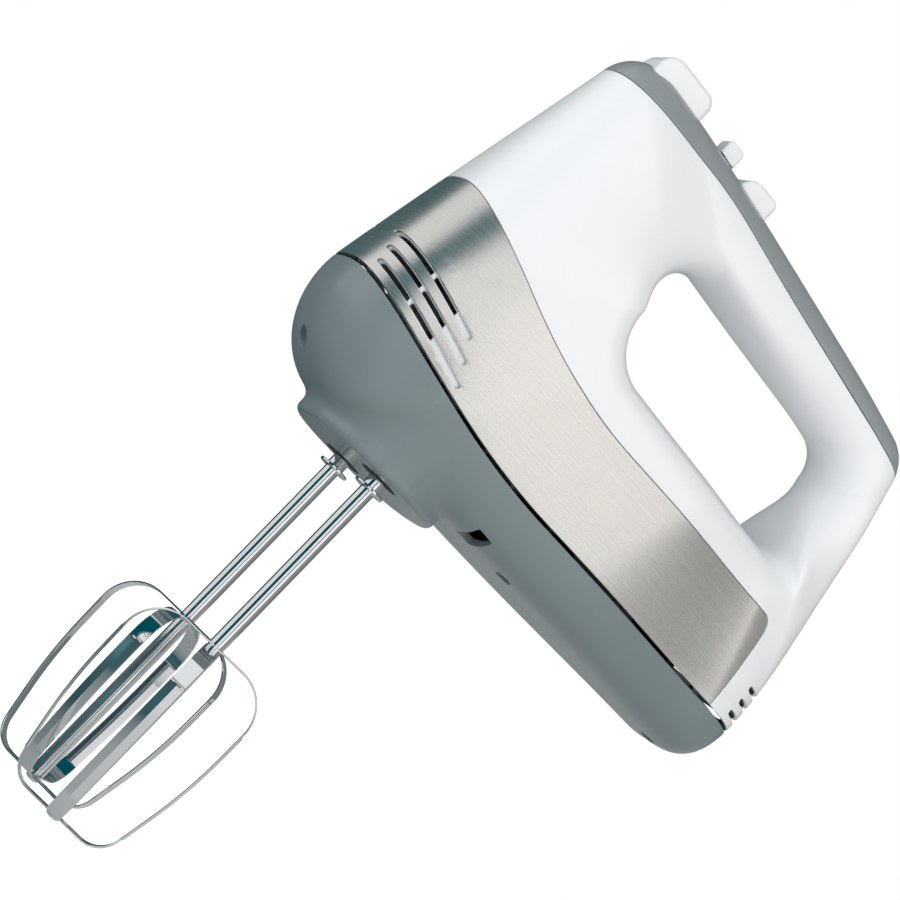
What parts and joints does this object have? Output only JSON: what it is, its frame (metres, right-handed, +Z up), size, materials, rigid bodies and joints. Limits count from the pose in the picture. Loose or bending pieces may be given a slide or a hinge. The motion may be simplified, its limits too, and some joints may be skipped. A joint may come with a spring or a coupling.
{
  "type": "hand mixer",
  "caption": "Hand mixer with a D-shaped grip, steel band with vent slots, thumb controls and two beaters driven by a worm-geared motor.",
  "frame": {"origin": "middle of the hand grip above the finger opening, on the mid plane, where a hand holds the mixer", "axes": "+Z up, opposite to the way the beaters point; -X towards the nose over the beaters; +Y to the right of a user who looks from the tail to the nose"},
  "size_m": [0.2061, 0.0785, 0.2995],
  "materials": {
    "white_plastic": "glossy moulded ABS",
    "grey_plastic": "glossy moulded ABS",
    "dark_plastic": "moulded phenolic and nylon",
    "band_steel": "stainless steel brushed along its length",
    "beater_chrome": "polished chrome plate",
    "machined_steel": "turned and pressed steel",
    "core_iron": "stacked electrical steel laminations",
    "copper_wire": "enamelled copper wire and copper segments",
    "bearing_bronze": "sintered bronze and brass strip",
    "nylon": "moulded nylon and acetal",
    "carbon": "pressed carbon",
    "board": "glass-fibre circuit board",
    "rubber": "moulded rubber"
  },
  "bodies": {
    "housing": {"steel_band": "band_steel", "upper_housing": "white_plastic", "lower_housing": "grey_plastic", "handle_cover": "grey_plastic", "seam_seal": "rubber", "cord_inlet": "rubber", "housing_screw_1": "machined_steel", "housing_screw_2": "machined_steel", "housing_screw_3": "machined_steel", "eject_spring": "machined_steel", "turbo_spring": "machined_steel", "control_board": "board", "speed_switch": "dark_plastic", "turbo_switch": "dark_plastic", "motor_stator": "core_iron", "left_field_coil": "copper_wire", "right_field_coil": "copper_wire", "front_bearing": "bearing_bronze", "middle_bearing": "bearing_bronze", "rear_bearing": "bearing_bronze", "gear_bracket": "machined_steel", "rear_bracket": "dark_plastic", "left_brush": "carbon", "right_brush": "carbon", "left_brush_holder": "bearing_bronze", "right_brush_holder": "bearing_bronze", "left_lower_bush": "bearing_bronze", "right_lower_bush": "bearing_bronze", "left_upper_bush": "bearing_bronze", "right_upper_bush": "bearing_bronze"},
    "motor": {"worm_shaft": "machined_steel", "armature_core": "core_iron", "front_winding": "copper_wire", "rear_winding": "copper_wire", "commutator": "copper_wire", "cooling_fan": "nylon"},
    "left_drive": {"left_worm_wheel": "nylon", "left_spindle": "machined_steel"},
    "right_drive": {"right_worm_wheel": "nylon", "right_spindle": "machined_steel"},
    "left_beater": {"left_beater_shaft": "beater_chrome", "left_outer_loop": "beater_chrome", "left_inner_loop": "beater_chrome"},
    "right_beater": {"right_beater_shaft": "beater_chrome", "right_outer_loop": "beater_chrome", "right_inner_loop": "beater_chrome"},
    "ejector": {"eject_button": "white_plastic", "eject_slide": "nylon"},
    "speed_control": {"speed_slider": "white_plastic"},
    "turbo_control": {"turbo_button": "white_plastic"}
  },
  "joints": [
    {"name": "motor_spin", "type": "hinge", "parent": "housing", "child": "motor", "pos_m": [0, 0, -0.09], "axis": [1, 0, 0], "continuous": true},
    {"name": "left_drive_spin", "type": "hinge", "parent": "housing", "child": "left_drive", "pos_m": [-0.072, -0.0175, -0.09], "axis": [0, 0, 1], "continuous": true},
    {"name": "right_drive_spin", "type": "hinge", "parent": "housing", "child": "right_drive", "pos_m": [-0.072, 0.0175, -0.09], "axis": [0, 0, 1], "continuous": true},
    {"name": "eject_press", "type": "slide", "parent": "housing", "child": "ejector", "axis": [0, 0, -1], "range_m": [0, 0.007], "stiffness_N_per_m": 600, "springref_m": -0.012, "deforming": ["eject_spring"]},
    {"name": "left_beater_release", "type": "slide", "parent": "left_drive", "child": "left_beater", "axis": [0, 0, -1], "range_m": [0, 0.007]},
    {"name": "right_beater_release", "type": "slide", "parent": "right_drive", "child": "right_beater", "axis": [0, 0, -1], "range_m": [0, 0.007]},
    {"name": "speed_select", "type": "slide", "parent": "housing", "child": "speed_control", "axis": [-1, 0, 0], "range_m": [0, 0.009]},
    {"name": "turbo_press", "type": "slide", "parent": "housing", "child": "turbo_control", "axis": [0, 0, -1], "range_m": [0, 0.0025], "stiffness_N_per_m": 500, "springref_m": -0.004, "deforming": ["turbo_spring"]}
  ],
  "couplings": [
    {"joint": "left_drive_spin", "follows": "motor_spin", "ratio": 0.076923},
    {"joint": "right_drive_spin", "follows": "motor_spin", "ratio": -0.076923},
    {"joint": "left_beater_release", "follows": "eject_press", "ratio": 1},
    {"joint": "right_beater_release", "follows": "eject_press", "ratio": 1}
  ]
}
